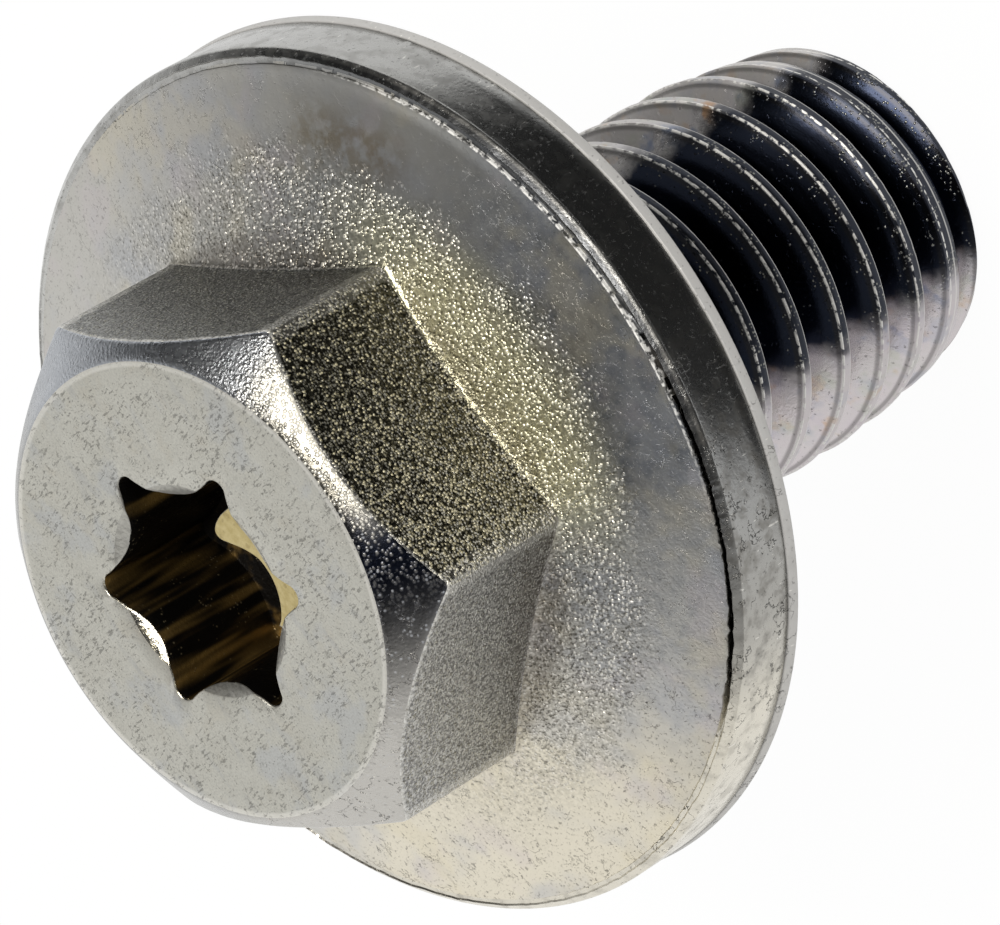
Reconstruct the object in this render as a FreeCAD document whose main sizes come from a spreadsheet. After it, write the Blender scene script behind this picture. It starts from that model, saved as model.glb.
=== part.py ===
import FreeCAD, Part
import math
import os
import Sketcher

# Oil drain plug: one forged and thread-rolled piece of steel, drawn in millimetres.
# It stands on the end of its thread, which is the origin, with the head up along Z.

doc = FreeCAD.newDocument("drain_plug")
sheet = doc.addObject("Spreadsheet::Sheet", "sizes")


# Sizes

SIZES = {
    # rolled thread on a shank with a relief under the flange
    "thread_radius": 6.3,
    "thread_pitch": 1.954,
    "thread_depth": 1.15,
    "thread_root_width": 0.3,
    "thread_flank_deg": 30.0,
    "thread_first_crest": 0.571,
    "shank_length": 20.0,
    "tip_radius": 5.75,
    "tip_taper_length": 4.6,
    "tip_edge": 0.3,
    "relief_radius": 4.95,
    "relief_length": 2.6,
    "relief_bevel": 0.9,
    # flange with a lip next to its seat, and a narrow groove inside its bevelled rim
    "flange_radius": 14.15,
    "seat_bevel": 0.1,
    "lip_height": 0.42,
    "lip_flare": 0.08,
    "rim_height": 2.7,
    "rim_bevel_width": 0.27,
    "rim_bevel_height": 0.22,
    "groove_width": 0.18,
    "groove_depth": 0.25,
    "cone_rise": 2.19,
    "cone_top_radius": 6.5,
    # hexagon head
    "head_height": 10.5,
    "hex_across_flats": 15.6,
    "hex_edge_rounding": 0.3,
    "crown_radius": 7.35,
    "crown_slope_deg": 40.0,
    "crown_overrun": 1.0,
    # six-lobed socket
    "socket_lobe_radius": 4.08,
    "socket_waist_radius": 3.0,
    "socket_lobe_rounding": 0.4,
    "socket_depth": 4.4,
    "socket_floor_drop": 0.8,
    "socket_mouth_radius": 3.4,
    "socket_mouth_depth": 0.22,
    # fold of metal that closes the mouth of one lobe
    "fold_radius": 3.1,
    "fold_reach": 4.5,
    "fold_first_deg": 220.0,
    "fold_last_deg": 262.0,
    "fold_nose_radius": 2.56,
    "fold_nose_rounding": 0.33,
    "fold_nose_deg": 292.0,
    "fold_heel_deg": 288.0,
    "fold_below_face": 0.16,
    "fold_thickness": 0.5,
}

# Sizes that follow from the ones above

FOLLOWING = {
    "thread_root_radius": "thread_radius - thread_depth",
    "cutter_radius": "thread_radius + thread_depth / 4",
    "cutter_low": "thread_first_crest - 1.5 * thread_pitch",
    "cutter_root_half": "thread_root_width / 2",
    "cutter_mouth_half": "cutter_root_half"
    " + (cutter_radius - thread_root_radius) * tan(thread_flank_deg * 1deg)",
    "cutter_root_bottom": "cutter_low - cutter_root_half",
    "cutter_root_top": "cutter_low + cutter_root_half",
    "cutter_mouth_bottom": "cutter_low - cutter_mouth_half",
    "cutter_mouth_top": "cutter_low + cutter_mouth_half",
    "cutter_rise": "relief_start + relief_length / 2 - cutter_low",
    "tip_flat_radius": "tip_radius - tip_edge",
    "relief_start": "shank_length - relief_length",
    "thread_end": "relief_start - relief_bevel",
    "rim_top": "shank_length + rim_height",
    "seat_edge_radius": "flange_radius - seat_bevel",
    "seat_bevel_top": "shank_length + seat_bevel",
    "lip_top": "shank_length + lip_height",
    "band_radius": "flange_radius - lip_flare",
    "band_top": "rim_top - rim_bevel_height",
    "groove_outer_radius": "band_radius - rim_bevel_width",
    "groove_middle_radius": "groove_outer_radius - groove_width / 2",
    "groove_inner_radius": "groove_outer_radius - groove_width",
    "groove_bottom": "rim_top - groove_depth",
    "cone_top": "rim_top + cone_rise",
    "face_height": "shank_length + head_height",
    "hex_corner_reach": "hex_across_flats / 2 / cos(30deg)",
    "hex_corner_centre": "hex_corner_reach - hex_edge_rounding / cos(30deg)",
    "hex_length": "face_height - rim_top",
    "crown_reach": "hex_corner_reach + crown_overrun",
    "crown_bottom": "face_height - (crown_reach - crown_radius) * tan(crown_slope_deg * 1deg)",
    "lobe_centre": "socket_lobe_radius - socket_lobe_rounding",
    "socket_floor": "face_height - socket_depth",
    "socket_point": "socket_floor - socket_floor_drop",
    "mouth_bottom": "face_height - socket_mouth_depth",
    "fold_bottom": "face_height - fold_below_face - fold_thickness",
    "waist_rounding": "(lobe_centre ^ 2 + socket_waist_radius ^ 2 - socket_lobe_rounding ^ 2"
    " - 2 * lobe_centre * socket_waist_radius * cos(30deg))"
    " / (2 * (socket_lobe_rounding - socket_waist_radius + lobe_centre * cos(30deg)))",
    "waist_centre": "socket_waist_radius + waist_rounding",
    "lobe_lean_deg": "atan2(waist_centre / 2; waist_centre * cos(30deg) - lobe_centre) / 1deg",
}

rows = list(SIZES.items()) + [(name, "=" + rule) for name, rule in FOLLOWING.items()]
for row, (name, content) in enumerate(rows, start=1):
    sheet.set("A%d" % row, name)
    sheet.set("B%d" % row, str(content))
    sheet.setAlias("B%d" % row, name)
doc.recompute()


def size(name):
    return float(sheet.get(name))


# Drawing helpers

body = doc.addObject("PartDesign::Body", "drain_plug")
body.Label = "drain_plug"
origin_parts = {feature.Role: feature for feature in body.Origin.OriginFeatures}


def new_sketch(name, plane, height=None):
    sketch = body.newObject("Sketcher::SketchObject", name)
    sketch.AttachmentSupport = [(origin_parts[plane], "")]
    sketch.MapMode = "FlatFace"
    if height is not None:
        sketch.setExpression(".AttachmentOffset.Base.z", "sizes." + height)
    return sketch


def at_angle(radius, degrees):
    angle = math.radians(degrees)
    return FreeCAD.Vector(radius * math.cos(angle), radius * math.sin(angle), 0)


def add_arc(sketch, centre, radius, first_deg, last_deg):
    circle = Part.Circle(centre, FreeCAD.Vector(0, 0, 1), size(radius))
    arc = Part.ArcOfCircle(circle, math.radians(first_deg), math.radians(last_deg))
    sketch.addGeometry(arc, False)


def hold_arc(sketch, geometry, reach, degrees):
    """Hold the centre of an arc at a named reach and a fixed angle."""
    here = sketch.getPoint(geometry, 3)
    for kind, place, part in (("DistanceX", here.x, "cos"), ("DistanceY", here.y, "sin")):
        number = sketch.addConstraint(Sketcher.Constraint(kind, -1, 1, geometry, 3, place))
        rule = "sizes.%s * %s(%d deg)" % (reach, part, degrees)
        sketch.setExpression("Constraints[%d]" % number, rule)


def hold_point(sketch, geometry, place, reach, degrees, kinds):
    """Hold a point of an outline at a named reach and a named angle."""
    here = sketch.getPoint(geometry, place)
    for kind in kinds:
        part, now = ("cos", here.x) if kind == "DistanceX" else ("sin", here.y)
        number = sketch.addConstraint(Sketcher.Constraint(kind, -1, 1, geometry, place, now))
        rule = "sizes.%s * %s(sizes.%s * 1deg)" % (reach, part, degrees)
        sketch.setExpression("Constraints[%d]" % number, rule)


def touch_angle(point, centre, radius, side):
    """Angle on a circle at which a line from the point touches it."""
    gap = point - centre
    toward = math.degrees(math.atan2(gap.y, gap.x))
    return toward - side * math.degrees(math.acos(radius / gap.Length))


def hold_radius(sketch, geometry, radius):
    number = sketch.addConstraint(Sketcher.Constraint("Radius", geometry, size(radius)))
    sketch.setExpression("Constraints[%d]" % number, "sizes." + radius)


def turned_outline(sketch, corners):
    """Join corners, each a named radius and height, into a closed half section."""
    def measure(word):
        return 0.0 if word == "0" else size(word)

    points = [FreeCAD.Vector(measure(radius), measure(height), 0) for radius, height in corners]
    count = len(points)
    for index in range(count):
        sketch.addGeometry(Part.LineSegment(points[index], points[(index + 1) % count]), False)
    for index in range(count):
        following = (index + 1) % count
        sketch.addConstraint(Sketcher.Constraint("Coincident", index, 2, following, 1))
    for index, (radius, height) in enumerate(corners):
        if radius == "0" and height == "0":
            sketch.addConstraint(Sketcher.Constraint("Coincident", index, 1, -1, 1))
            continue
        for kind, word, axis in (("DistanceX", radius, -2), ("DistanceY", height, -1)):
            if word == "0":
                sketch.addConstraint(Sketcher.Constraint("PointOnObject", index, 1, axis))
                continue
            number = sketch.addConstraint(Sketcher.Constraint(kind, -1, 1, index, 1, measure(word)))
            sketch.setExpression("Constraints[%d]" % number, "sizes." + word)


def turn(kind, name, sketch, seam_deg=0):
    """Turn a half section once round the upright axis, with its seam at the given angle."""
    about_upright = FreeCAD.Rotation(FreeCAD.Vector(0, 1, 0), seam_deg)
    sketch.AttachmentOffset = FreeCAD.Placement(FreeCAD.Vector(), about_upright)
    feature = body.newObject(kind, name)
    feature.Profile = sketch
    feature.ReferenceAxis = (sketch, ["V_Axis"])
    feature.Angle = 360
    doc.recompute()
    return feature


# Turned blank: tapered tip, shank, relief, flat seat, lip, rim, groove and cone

blank_sketch = new_sketch("blank_section", "XZ_Plane")
turned_outline(blank_sketch, [
    ("0", "0"),
    ("tip_flat_radius", "0"),
    ("tip_radius", "tip_edge"),
    ("thread_radius", "tip_taper_length"),
    ("thread_radius", "thread_end"),
    ("relief_radius", "relief_start"),
    ("relief_radius", "shank_length"),
    ("seat_edge_radius", "shank_length"),
    ("flange_radius", "seat_bevel_top"),
    ("band_radius", "lip_top"),
    ("band_radius", "band_top"),
    ("groove_outer_radius", "rim_top"),
    ("groove_middle_radius", "groove_bottom"),
    ("groove_inner_radius", "rim_top"),
    ("cone_top_radius", "cone_top"),
    ("0", "cone_top"),
])
turn("PartDesign::Revolution", "blank", blank_sketch)

# Rolled thread: a groove wound round the shank from below the tip into the relief

thread_sketch = new_sketch("thread_groove_section", "XZ_Plane")
turned_outline(thread_sketch, [
    ("thread_root_radius", "cutter_root_bottom"),
    ("cutter_radius", "cutter_mouth_bottom"),
    ("cutter_radius", "cutter_mouth_top"),
    ("thread_root_radius", "cutter_root_top"),
])
thread = body.newObject("PartDesign::SubtractiveHelix", "thread")
thread.Profile = thread_sketch
thread.ReferenceAxis = (thread_sketch, ["V_Axis"])
thread.Mode = 0
thread.setExpression("Pitch", "sizes.thread_pitch")
thread.setExpression("Height", "sizes.cutter_rise")
thread.LeftHanded = False
doc.recompute()

# Hexagon with worn corners and a conical crown

hex_sketch = new_sketch("hexagon_outline", "XY_Plane", "rim_top")
for number in range(6):
    middle = 60 * number
    corner = at_angle(size("hex_corner_centre"), middle)
    next_corner = at_angle(size("hex_corner_centre"), middle + 60)
    outward = at_angle(size("hex_edge_rounding"), middle + 30)
    add_arc(hex_sketch, corner, "hex_edge_rounding", middle - 30, middle + 30)
    hex_sketch.addGeometry(Part.LineSegment(corner + outward, next_corner + outward), False)
for number in range(6):
    corner_arc = 2 * number
    side = corner_arc + 1
    hex_sketch.addConstraint(Sketcher.Constraint("Tangent", corner_arc, 2, side, 1))
    hex_sketch.addConstraint(Sketcher.Constraint("Tangent", side, 2, (corner_arc + 2) % 12, 1))
for number in range(6):
    hold_arc(hex_sketch, 2 * number, "hex_corner_centre", 60 * number)
    hold_radius(hex_sketch, 2 * number, "hex_edge_rounding")
hexagon = body.newObject("PartDesign::Pad", "hexagon")
hexagon.Profile = hex_sketch
hexagon.setExpression("Length", "sizes.hex_length")
doc.recompute()

crown_sketch = new_sketch("crown_section", "XZ_Plane")
turned_outline(crown_sketch, [
    ("crown_radius", "face_height"),
    ("crown_reach", "crown_bottom"),
    ("crown_reach", "face_height"),
])
turn("PartDesign::Groove", "crown", crown_sketch, seam_deg=15)

# Six-lobed socket: twelve arcs, tangent in turn, with a conical floor and mouth

socket_sketch = new_sketch("socket_outline", "XY_Plane", "face_height")
lean = size("lobe_lean_deg")
for number in range(6):
    middle = 60 * number
    lobe = at_angle(size("lobe_centre"), middle)
    waist = at_angle(size("waist_centre"), middle + 30)
    add_arc(socket_sketch, lobe, "socket_lobe_rounding", middle - lean, middle + lean)
    add_arc(socket_sketch, waist, "waist_rounding", middle + 240 - lean, middle + 180 + lean)
for number in range(6):
    lobe_arc = 2 * number
    waist_arc = lobe_arc + 1
    socket_sketch.addConstraint(Sketcher.Constraint("Tangent", lobe_arc, 2, waist_arc, 2))
    socket_sketch.addConstraint(Sketcher.Constraint("Tangent", waist_arc, 1, (lobe_arc + 2) % 12, 1))
for number in range(6):
    hold_arc(socket_sketch, 2 * number, "lobe_centre", 60 * number)
    hold_radius(socket_sketch, 2 * number, "socket_lobe_rounding")
    hold_radius(socket_sketch, 2 * number + 1, "waist_rounding")
socket = body.newObject("PartDesign::Pocket", "socket")
socket.Profile = socket_sketch
socket.setExpression("Length", "sizes.socket_depth")
doc.recompute()

floor_sketch = new_sketch("socket_floor_section", "XZ_Plane")
turned_outline(floor_sketch, [
    ("0", "socket_floor"),
    ("0", "socket_point"),
    ("socket_waist_radius", "socket_floor"),
])
turn("PartDesign::Groove", "socket_floor_cone", floor_sketch)

mouth_sketch = new_sketch("socket_mouth_section", "XZ_Plane")
turned_outline(mouth_sketch, [
    ("0", "face_height"),
    ("0", "mouth_bottom"),
    ("socket_waist_radius", "mouth_bottom"),
    ("socket_mouth_radius", "face_height"),
])
turn("PartDesign::Groove", "socket_mouth", mouth_sketch)

# Fold of metal with a rounded nose across the mouth of one lobe

fold_sketch = new_sketch("fold_outline", "XY_Plane", "fold_bottom")
middle = FreeCAD.Vector()
nose = at_angle(size("fold_nose_radius"), size("fold_nose_deg"))
inner_end = at_angle(size("fold_radius"), size("fold_last_deg"))
heel = at_angle(size("fold_reach"), size("fold_heel_deg"))
lean_in = touch_angle(inner_end, nose, size("fold_nose_rounding"), 1)
lean_out = touch_angle(heel, nose, size("fold_nose_rounding"), -1)
nose_first = nose + at_angle(size("fold_nose_rounding"), lean_in)
nose_last = nose + at_angle(size("fold_nose_rounding"), lean_out)
add_arc(fold_sketch, middle, "fold_radius", size("fold_first_deg"), size("fold_last_deg"))
fold_sketch.addGeometry(Part.LineSegment(inner_end, nose_first), False)
add_arc(fold_sketch, nose, "fold_nose_rounding", lean_out, lean_in)
fold_sketch.addGeometry(Part.LineSegment(nose_last, heel), False)
add_arc(fold_sketch, middle, "fold_reach", size("fold_first_deg"), size("fold_heel_deg"))
outer_end = at_angle(size("fold_reach"), size("fold_first_deg"))
inner_start = at_angle(size("fold_radius"), size("fold_first_deg"))
fold_sketch.addGeometry(Part.LineSegment(outer_end, inner_start), False)
for kind, one, one_end, other, other_end in (
    ("Coincident", 0, 2, 1, 1),
    ("Tangent", 1, 2, 2, 2),
    ("Tangent", 2, 1, 3, 1),
    ("Coincident", 3, 2, 4, 2),
    ("Coincident", 4, 1, 5, 1),
    ("Coincident", 5, 2, 0, 1),
    ("Coincident", 0, 3, -1, 1),
    ("Coincident", 4, 3, -1, 1),
):
    fold_sketch.addConstraint(Sketcher.Constraint(kind, one, one_end, other, other_end))
hold_point(fold_sketch, 2, 3, "fold_nose_radius", "fold_nose_deg", ("DistanceX", "DistanceY"))
hold_point(fold_sketch, 0, 1, "fold_radius", "fold_first_deg", ("DistanceX",))
hold_point(fold_sketch, 0, 2, "fold_radius", "fold_last_deg", ("DistanceX",))
hold_point(fold_sketch, 4, 1, "fold_reach", "fold_first_deg", ("DistanceX",))
hold_point(fold_sketch, 4, 2, "fold_reach", "fold_heel_deg", ("DistanceX",))
hold_radius(fold_sketch, 0, "fold_radius")
hold_radius(fold_sketch, 2, "fold_nose_rounding")
hold_radius(fold_sketch, 4, "fold_reach")
fold = body.newObject("PartDesign::Pad", "fold")
fold.Profile = fold_sketch
fold.setExpression("Length", "sizes.fold_thickness")
doc.recompute()

# Check of every feature, then the finished solid

for item in [sheet, body] + body.Group:
    if "Invalid" in item.State or "Error" in item.State:
        raise RuntimeError("%s did not build: %s" % (item.Name, item.State))
for item in [body] + body.Group:
    if item.Shape.isNull() or not item.Shape.isValid():
        raise RuntimeError("%s has no valid shape" % item.Name)
if len(body.Shape.Solids) != 1:
    raise RuntimeError("the plug is not one solid")

os.makedirs("parts", exist_ok=True)
body.Shape.exportStep("parts/drain_plug.step")
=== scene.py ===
import math

import bmesh
import bpy
from bpy.props import FloatProperty, FloatVectorProperty, IntProperty, PointerProperty
from mathutils import Matrix, Vector, noise


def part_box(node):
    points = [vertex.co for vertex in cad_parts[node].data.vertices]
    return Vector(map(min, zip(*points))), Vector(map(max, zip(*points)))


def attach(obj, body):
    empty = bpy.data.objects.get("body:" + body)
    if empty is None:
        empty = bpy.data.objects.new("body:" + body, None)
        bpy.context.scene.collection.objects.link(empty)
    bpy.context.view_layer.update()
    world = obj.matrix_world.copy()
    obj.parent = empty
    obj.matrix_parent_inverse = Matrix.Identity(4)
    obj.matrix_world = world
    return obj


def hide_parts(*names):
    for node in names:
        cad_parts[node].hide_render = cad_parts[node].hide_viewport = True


bl_info = {
    "name": "Oil drain plug",
    "version": (1, 0, 0),
    "blender": (4, 5, 0),
    "location": "3D View > Sidebar > Drain plug",
    "description": "Models a flanged oil drain plug in plated steel on a plain studio floor",
    "category": "Add Mesh",
}

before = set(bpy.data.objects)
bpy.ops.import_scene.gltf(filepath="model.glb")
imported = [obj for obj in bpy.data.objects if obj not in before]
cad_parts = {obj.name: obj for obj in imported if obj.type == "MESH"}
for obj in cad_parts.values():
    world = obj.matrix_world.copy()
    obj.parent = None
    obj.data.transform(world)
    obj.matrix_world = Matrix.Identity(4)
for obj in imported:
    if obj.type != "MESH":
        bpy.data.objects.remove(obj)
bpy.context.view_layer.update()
solid_low, solid_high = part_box("drain_plug")

MM = 0.001


# Sizes and finishes that a user would change

def length(name, description, default):
    return FloatProperty(name=name, description=description, default=default, precision=5,
                         subtype="DISTANCE", unit="LENGTH")


def level(name, description, default):
    return FloatProperty(name=name, description=description, default=default, min=0.0)


def colour(name, description, default):
    return FloatVectorProperty(name=name, description=description, default=default, subtype="COLOR", size=3,
                               min=0.0, max=1.0)


class HeadSizes(bpy.types.PropertyGroup):
    face_height: length("Face height", "Height of the end face above the end of the thread", solid_high[2])
    across_flats: length("Across flats", "Width of the hexagon over two opposite flats", 0.0156)
    corner_rounding: length("Corner rounding", "Radius of the six upright edges", 0.0003)
    crown_radius: length("Crown radius", "Radius of the flat end face inside the sloping crown", 0.00735)
    crown_slope: FloatProperty(name="Crown slope", description="Fall of the crown towards the corners",
                               default=math.radians(40), subtype="ANGLE", unit="ROTATION")
    edge_wear: length("Edge wear", "Rounding where the crown meets the flats", 0.00016)
    face_wear: length("Face wear", "Rounding where the crown meets the end face", 0.00012)
    lobe_radius: length("Lobe radius", "Radius over the tips of the six lobes", 0.00408)
    lobe_rounding: length("Lobe rounding", "Radius of each lobe's tip", 0.0004)
    waist_radius: length("Waist radius", "Radius over the six ridges between the lobes", 0.0030)
    mouth_radius: length("Mouth radius", "Radius of the small cone at the socket's mouth", 0.0034)
    mouth_depth: length("Mouth depth", "Depth of the small cone at the socket's mouth", 0.00022)
    socket_depth: length("Socket depth", "Depth of the socket's wall", 0.0044)
    floor_drop: length("Floor drop", "Depth of the conical floor below the wall", 0.0008)
    fold_drop: length("Fold drop", "Depth of the folded metal below the end face", 0.00016)
    fold_thickness: length("Fold thickness", "Thickness of the folded metal", 0.0005)


class FlangeSizes(bpy.types.PropertyGroup):
    radius: length("Radius", "Outer radius of the flange", solid_high[0])
    seat_height: length("Seat height", "Height of the flat underside above the end of the thread", 0.020)
    seat_edge: length("Seat edge", "Rounding of the edge next to the seat", 0.0001)
    lip_height: length("Lip height", "Height of the flared lip next to the seat", 0.00042)
    lip_flare: length("Lip flare", "How far the lip stands out from the band above it", 0.00008)
    rim_height: length("Rim height", "Thickness of the flange at its rim", 0.0027)
    bevel_width: length("Bevel width", "Width of the bevel round the rim", 0.00027)
    bevel_height: length("Bevel height", "Height of the bevel round the rim", 0.00022)
    crack_width: length("Crack width", "Width of the narrow groove inside the bevel", 0.00018)
    crack_depth: length("Crack depth", "Depth of the narrow groove inside the bevel", 0.00025)
    cone_rise: length("Cone rise", "Rise of the flange's face from the groove to the hexagon", 0.00219)
    cone_top_radius: length("Cone top radius", "Radius at which the rise is reached", 0.0065)
    root_rounding: length("Root rounding", "Radius where the flats meet the flange", 0.0002)


class ThreadSizes(bpy.types.PropertyGroup):
    radius: length("Radius", "Radius over the crests", 0.0063)
    pitch: length("Pitch", "Rise of the thread in one turn", 0.001954)
    depth: length("Depth", "Depth from crest to root", 0.00115)
    root_width: length("Root width", "Width of the flat at the root", 0.0003)
    first_crest: length("First crest", "Height of the lowest crest on the +X side", 0.000571)
    tip_radius: length("Tip radius", "Radius where the taper reaches the end", 0.00575)
    tip_edge: length("Tip edge", "Bevel round the flat end", 0.0003)
    taper_length: length("Taper length", "Length of the tapered start", 0.0046)
    relief_radius: length("Relief radius", "Radius of the plain neck under the flange", 0.00495)
    relief_length: length("Relief length", "Length of the plain neck", 0.0026)
    relief_bevel: length("Relief bevel", "Length over which the thread runs out into the neck", 0.0009)
    crest_wear: length("Crest wear", "Depth of the nicks along the edges of the crests", 0.00003)
    steps: IntProperty(name="Steps", description="Facets round one turn of the thread", default=150, min=24)


# Helpers for modelling

POINTS_ROUND = 600
CORNER_CROWDING = 0.1
EXACT = 1e-7


def deselect():
    if bpy.context.object and bpy.context.object.mode == "EDIT":
        bpy.ops.object.mode_set(mode="OBJECT")
    bpy.ops.object.select_all(action="DESELECT")


def pick(*pieces):
    """Select these pieces and nothing else, with the first one active."""
    deselect()
    for piece in pieces:
        piece.select_set(True)
    bpy.context.view_layer.objects.active = pieces[0]


def curved(start, corner, end, share):
    """Point on the rounding of a corner, from its start at 0 to its end at 1."""
    rest = 1 - share
    return tuple(rest * rest * a + 2 * rest * share * b + share * share * c
                 for a, b, c in zip(start, corner, end))


def blended(start, end, share):
    return tuple(a + (b - a) * share for a, b in zip(start, end))


def at(outline, angle):
    """Radius and height of an outline at an angle: a plain pair holds all the way round."""
    return outline(angle) if callable(outline) else outline


def waver(angle, scale, seed):
    """Unevenness between -1 and 1 that closes on itself round the plug."""
    return noise.noise(Vector((scale * math.cos(angle), scale * math.sin(angle), seed)))


def ease(value, low, high):
    """Smooth step from 0 at low to 1 at high."""
    share = min(max((value - low) / (high - low), 0.0), 1.0)
    return share * share * (3 - 2 * share)


def facing(angle, middle_deg, half_width_deg):
    """1 in one direction round the plug, and 0 from the half width outwards."""
    away = abs((math.degrees(angle) - middle_deg + 180) % 360 - 180)
    return 1 - ease(away, half_width_deg * 0.6, half_width_deg)


def draw_line(name, points):
    """Draw an open line by extruding one point from place to place, and stay in edit mode."""
    deselect()
    bpy.ops.mesh.primitive_plane_add(size=MM)
    line = bpy.context.object
    line.name = name
    line.data.name = name
    bpy.ops.object.mode_set(mode="EDIT")
    bpy.ops.mesh.select_mode(type="VERT")
    bpy.ops.mesh.select_all(action="SELECT")
    bpy.ops.mesh.merge(type="CENTER")
    bpy.ops.transform.translate(value=points[0])
    for before, after in zip(points, points[1:]):
        step = tuple(b - a for a, b in zip(before, after))
        bpy.ops.mesh.extrude_vertices_move(TRANSFORM_OT_translate={"value": step})
    return line


class Skin:
    """A skin that is raised ring by ring: each ring is extruded from the last and then put in place."""

    # Ripples of a forged face in a metre: the large ones, and the small ones at half their height
    LARGE_RIPPLES = 500
    SMALL_RIPPLES = 1400

    def __init__(self, name):
        deselect()
        bpy.ops.mesh.primitive_circle_add(vertices=POINTS_ROUND, radius=solid_high[0])
        self.piece = bpy.context.object
        self.piece.name = name
        self.piece.data.name = name
        bpy.ops.object.mode_set(mode="EDIT")
        bpy.ops.mesh.select_mode(type="VERT")
        bpy.ops.mesh.select_all(action="SELECT")
        self.started = False
        self.unevenness = 0.0

    def ring(self, outline):
        """Add a ring at the radius and height of an outline."""
        if self.started:
            bpy.ops.mesh.extrude_region_move()
        mesh = bmesh.from_edit_mesh(self.piece.data)
        for point in mesh.verts:
            if not point.select:
                continue
            angle = math.atan2(point.co.y, point.co.x)
            if not self.started:
                angle -= CORNER_CROWDING * math.sin(6 * angle)
            radius, height = at(outline, angle)
            if self.unevenness:
                place = Vector((radius * math.cos(angle), radius * math.sin(angle), height))
                rise = noise.noise(place * self.LARGE_RIPPLES) + 0.5 * noise.noise(place * self.SMALL_RIPPLES)
                radius += self.unevenness * rise
                height += self.unevenness * rise
            point.co = (radius * math.cos(angle), radius * math.sin(angle), height)
        bmesh.update_edit_mesh(self.piece.data)
        self.started = True

    def corner(self, start, middle, end, steps):
        """Add the rings of a rounded corner, its ends included."""
        for step in range(steps + 1):
            share = step / steps
            self.ring(lambda angle: curved(at(start, angle), at(middle, angle), at(end, angle), share))

    def run(self, start, end, steps):
        """Add the rings between two outlines, without them."""
        for step in range(1, steps):
            share = step / steps
            self.ring(lambda angle: blended(at(start, angle), at(end, angle), share))


# Outlines of the head, with the room for the bead beside the groove and the least width of the mouth

FACE_MARGIN = 0.22 * MM
MOUTH_MARGIN = 0.04 * MM


def sector(angle):
    """Angle from the nearest corner of the hexagon, which is also the nearest lobe."""
    return abs((angle + math.pi / 6) % (math.pi / 3) - math.pi / 6)


def along_circle(centre, radius, away):
    """Distance from the axis to the far side of a circle, or to its near side for a negative radius."""
    half = math.sqrt(radius ** 2 - (centre * math.sin(away)) ** 2)
    return centre * math.cos(away) + math.copysign(half, radius)


class Outlines:
    """Distances from the axis and heights that the rings of the head share."""

    def __init__(self, head, flange):
        self.top = head.face_height
        self.crown_radius = head.crown_radius
        self.crown_fall = math.tan(head.crown_slope)
        self.half_flats = head.across_flats / 2
        self.corner_rounding = head.corner_rounding
        self.lobe_rounding = head.lobe_rounding
        self.lobe_centre = head.lobe_radius - head.lobe_rounding
        self.waist_radius = head.waist_radius
        self.mouth_radius = head.mouth_radius
        self.mouth_fall = head.mouth_depth / (head.mouth_radius - head.waist_radius)
        self.rim_top = flange.seat_height + flange.rim_height
        self.crack_outer = flange.radius - flange.lip_flare - flange.bevel_width
        self.crack_inner = self.crack_outer - flange.crack_width
        self.cone_fall = flange.cone_rise / (self.crack_inner - flange.cone_top_radius)
        self.face_start = self.crack_inner - FACE_MARGIN

    def hexagon(self, angle):
        """Distance from the axis to the hexagon with its rounded corners."""
        away = sector(angle)
        rounding = self.corner_rounding
        centre = (self.half_flats - rounding) / math.cos(math.pi / 6)
        touch = math.atan2(rounding * math.sin(math.pi / 6), centre + rounding * math.cos(math.pi / 6))
        if away < touch:
            return along_circle(centre, rounding, away)
        return self.half_flats / math.cos(math.pi / 6 - away)

    def wall(self, angle):
        """Distance from the axis to the wall of the six-lobed socket."""
        away = sector(angle)
        tip = self.lobe_rounding
        waist = self.waist_radius
        lean = self.lobe_centre * math.cos(math.pi / 6)
        gap = self.lobe_centre ** 2 + waist ** 2 - tip ** 2 - 2 * waist * lean
        waist_rounding = gap / (2 * (tip - waist + lean))
        waist_centre = waist + waist_rounding
        toward = Vector((waist_centre * math.cos(math.pi / 6) - self.lobe_centre,
                         waist_centre * math.sin(math.pi / 6))).normalized()
        touch = math.atan2(tip * toward.y, self.lobe_centre + tip * toward.x)
        if away < touch:
            return along_circle(self.lobe_centre, tip, away)
        off = math.pi / 6 - away
        return along_circle(waist_centre, -waist_rounding, off)

    def cone(self, radius):
        """Height of the flange's sloping face."""
        return self.rim_top + (self.crack_inner - radius) * self.cone_fall

    def crown(self, radius):
        """Height of the sloping crown."""
        return self.top - (radius - self.crown_radius) * self.crown_fall

    def mouth(self, angle):
        """Distance from the axis to the edge between the end face and the socket's mouth."""
        return max(self.wall(angle) + MOUTH_MARGIN, self.mouth_radius)

    def mouth_foot(self, angle):
        """Height at which the cone of the mouth meets the socket's wall."""
        return self.top - (self.mouth(angle) - self.wall(angle)) * self.mouth_fall


# Fold of metal across the mouth of one lobe: distance from the axis and direction of each point

FOLD_OUTLINE = [
    (3.40, 292.3), (2.92, 296.8), (2.30, 299.6), (2.10, 292.0), (2.28, 282.5), (2.62, 271.7), (2.95, 262.3),
    (3.05, 255.3), (3.13, 248.0), (3.15, 240.0), (3.13, 231.6), (3.08, 224.0), (2.98, 219.5),
]
FOLD_BACK = [(4.5, 219.5), (4.5, 234.0), (4.5, 248.0), (4.5, 262.0), (4.5, 276.0), (4.4, 287.0)]


# Plated finishes

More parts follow.
